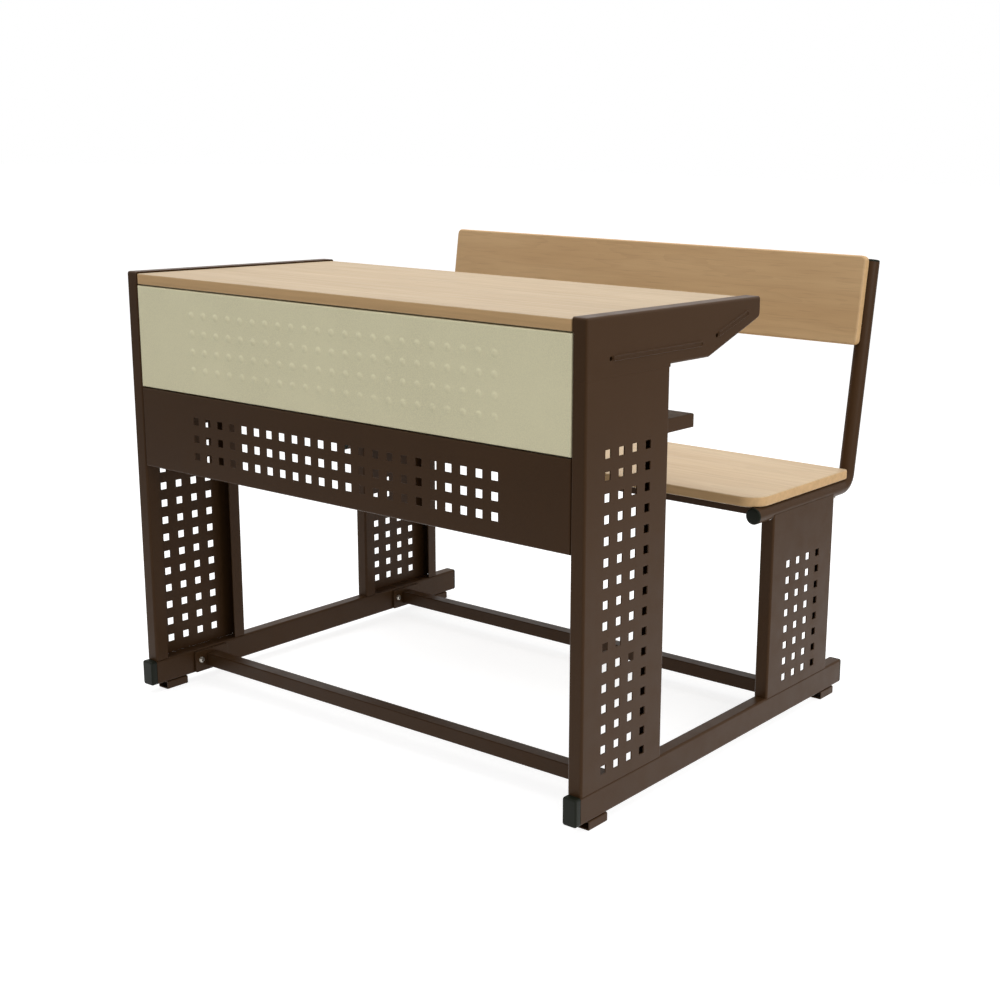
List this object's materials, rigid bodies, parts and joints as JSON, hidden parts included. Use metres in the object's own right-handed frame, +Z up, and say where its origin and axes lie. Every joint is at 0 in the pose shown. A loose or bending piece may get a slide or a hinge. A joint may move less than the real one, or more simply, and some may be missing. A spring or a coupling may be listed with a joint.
{
  "type": "two-seat school desk",
  "caption": "Two-seat school desk with a fixed bench: wooden top, book shelf, cream front panel, square-hole sheet-metal pillars on floor rails, wooden seat and backrest.",
  "frame": {"origin": "centre of the footprint, on the floor", "axes": "+X along the desk's width, to the right of somebody looking at the cream front panel; +Y from the front panel towards the bench and its backrest; +Z up"},
  "size_m": [1.0044, 0.8944, 0.8104],
  "materials": {
    "brown_paint": "semi-gloss dark brown powder coat",
    "cream_paint": "semi-gloss cream powder coat",
    "wood_board": "satin light wood laminate with fine straight grain",
    "cap_plastic": "matt near-black moulded plastic",
    "bright_steel": "bright zinc-plated steel"
  },
  "bodies": {
    "root": {"backrest_board": "wood_board", "backrest_screw_1_left": "bright_steel", "backrest_screw_1_right": "bright_steel", "backrest_screw_2_left": "bright_steel", "backrest_screw_2_right": "bright_steel", "book_shelf": "brown_paint", "cross_tie_front": "brown_paint", "cross_tie_rear": "brown_paint", "desk_pillar_left": "brown_paint", "desk_pillar_right": "brown_paint", "desk_top": "wood_board", "floor_rail_left": "brown_paint", "floor_rail_right": "brown_paint", "front_foot_left": "brown_paint", "front_foot_right": "brown_paint", "front_panel": "cream_paint", "modesty_panel": "brown_paint", "rail_front_cap_left": "cap_plastic", "rail_front_cap_right": "cap_plastic", "rail_rear_cap_left": "cap_plastic", "rail_rear_cap_right": "cap_plastic", "rear_foot_left": "brown_paint", "rear_foot_right": "brown_paint", "seat_board": "wood_board", "seat_pillar_left": "brown_paint", "seat_pillar_right": "brown_paint", "seat_rail_front": "brown_paint", "seat_rail_rear": "brown_paint", "seat_screw_1_left": "bright_steel", "seat_screw_1_right": "bright_steel", "seat_screw_2_left": "bright_steel", "seat_screw_2_right": "bright_steel", "seat_tube_left": "brown_paint", "seat_tube_right": "brown_paint", "side_wing_left": "brown_paint", "side_wing_right": "brown_paint", "tie_bolt_front_a_left": "bright_steel", "tie_bolt_front_a_right": "bright_steel", "tie_bolt_front_b_left": "bright_steel", "tie_bolt_front_b_right": "bright_steel", "tie_bolt_rear_a_left": "bright_steel", "tie_bolt_rear_a_right": "bright_steel", "tie_bolt_rear_b_left": "bright_steel", "tie_bolt_rear_b_right": "bright_steel", "tie_plate_front_left": "brown_paint", "tie_plate_front_right": "brown_paint", "tie_plate_rear_left": "brown_paint", "tie_plate_rear_right": "brown_paint", "top_bearer_front": "brown_paint", "top_bearer_rear": "brown_paint", "top_screw_front_left": "bright_steel", "top_screw_front_right": "bright_steel", "top_screw_rear_left": "bright_steel", "top_screw_rear_right": "bright_steel", "tube_plug_front_left": "cap_plastic", "tube_plug_front_right": "cap_plastic", "tube_plug_top_left": "cap_plastic", "tube_plug_top_right": "cap_plastic"}
  },
  "joints": []
}
